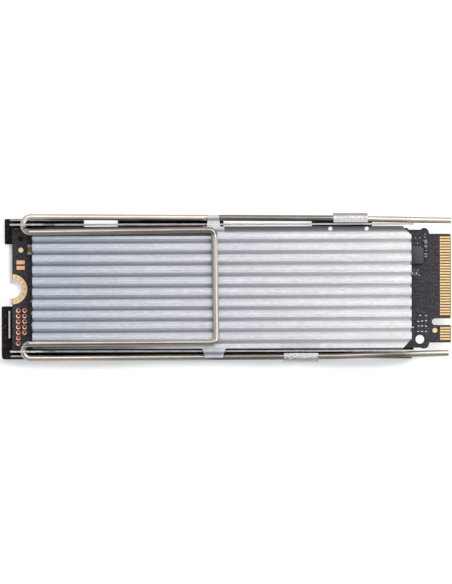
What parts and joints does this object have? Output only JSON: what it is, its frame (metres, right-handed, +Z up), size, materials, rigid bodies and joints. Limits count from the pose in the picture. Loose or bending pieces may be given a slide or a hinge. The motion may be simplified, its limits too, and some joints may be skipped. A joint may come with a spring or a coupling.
{
  "type": "gumstick solid state drive",
  "caption": "Gumstick solid state drive in a folded steel cradle on a foam pad, with a ridged heat sink held down by a sliding bent wire clip.",
  "frame": {"origin": "underside of the foam pad, midway along the circuit board and midway between the cradle's walls", "axes": "+X along the drive towards its edge connector, +Z up out of the ridged heat sink"},
  "size_m": [0.0821, 0.0272, 0.0083],
  "materials": {
    "steel": "bright folded sheet",
    "wire": "bright nickel-plated spring wire",
    "aluminium": "matte, ridged",
    "foam": "black foam",
    "pad": "soft grey thermal pad",
    "board": "black solder mask with gold contacts",
    "mould": "plain chip mould",
    "slate": "slate chip mould",
    "ferrite": "grey ferrite",
    "tin": "tinned lid",
    "ceramic": "tan ceramic with tinned ends",
    "dark_ceramic": "brown ceramic with tinned ends"
  },
  "bodies": {
    "drive": {"foam_pad": "foam", "tray": "steel", "cradle": "steel", "lower_thermal_pad": "pad", "upper_thermal_pad": "pad", "circuit_board": "board", "flash_chip_left": "mould", "flash_chip_right": "mould", "controller_chip": "mould", "memory_chip": "mould", "power_chip": "slate", "power_coil_1": "ferrite", "power_coil_2": "ferrite", "power_coil_3": "ferrite", "clock_crystal": "tin", "end_capacitor": "ceramic", "edge_capacitor_1": "dark_ceramic", "edge_capacitor_2": "dark_ceramic", "edge_capacitor_3": "dark_ceramic", "tongue_capacitor_1": "dark_ceramic", "tongue_capacitor_2": "dark_ceramic", "tongue_capacitor_3": "dark_ceramic", "bulk_capacitor_1": "dark_ceramic", "bulk_capacitor_2": "dark_ceramic", "bulk_capacitor_3": "dark_ceramic", "heat_sink": "aluminium"},
    "clip": {"spring_clip": "wire"}
  },
  "joints": [
    {"name": "clip_slide", "type": "slide", "parent": "drive", "child": "clip", "axis": [-1, 0, 0], "range_m": [0, 0.006]}
  ]
}
